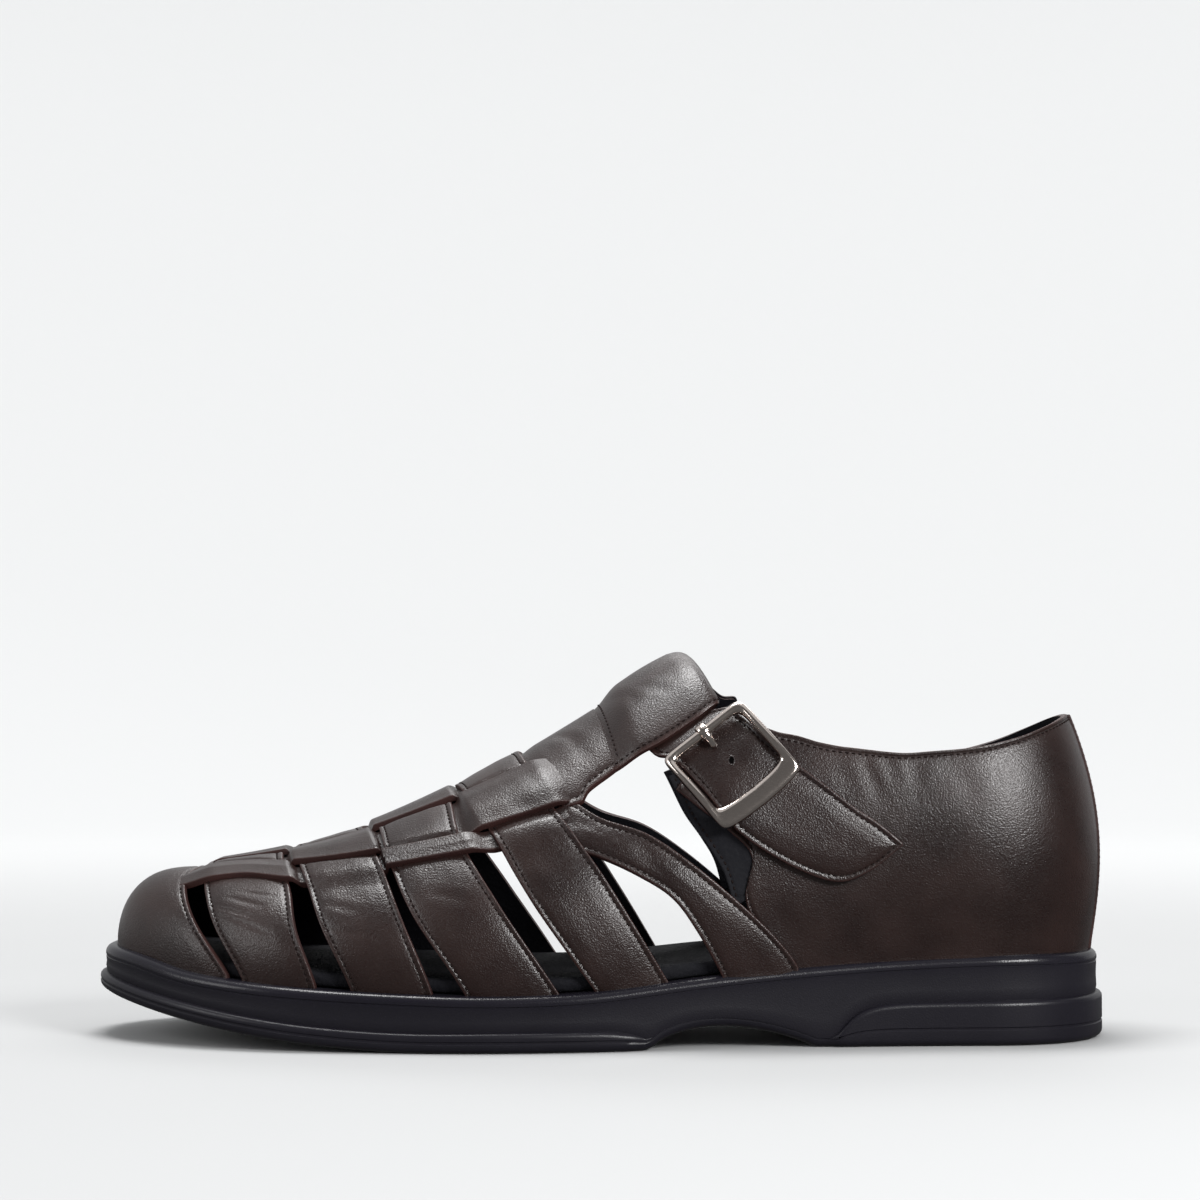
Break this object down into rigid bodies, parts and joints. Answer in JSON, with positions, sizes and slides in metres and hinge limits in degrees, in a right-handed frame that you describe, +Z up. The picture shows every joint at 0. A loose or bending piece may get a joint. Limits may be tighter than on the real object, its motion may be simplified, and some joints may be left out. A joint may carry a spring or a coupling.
{
  "type": "huarache sandal",
  "caption": "Left leather fisherman sandal: woven strap upper with closed toe and heel, T-strap loop, buckled ankle strap and a moulded sole with low heel.",
  "frame": {"origin": "on the floor, centre of the bounding box's base", "axes": "+X towards the heel along the shoe, the toe at -X; -Y the outer side with the buckle; +Z up"},
  "size_m": [0.3, 0.108, 0.1134],
  "materials": {
    "leather": "smooth dark brown with a soft sheen",
    "lining": "black, finely pebbled",
    "sole": "near black, satin with a glossy lip",
    "buckle": "polished nickel"
  },
  "bodies": {
    "root": {"sole": "sole", "insole": "lining", "upper": "leather", "ankle_strap": "leather", "buckle_frame": "buckle", "buckle_prong": "buckle"}
  },
  "joints": []
}
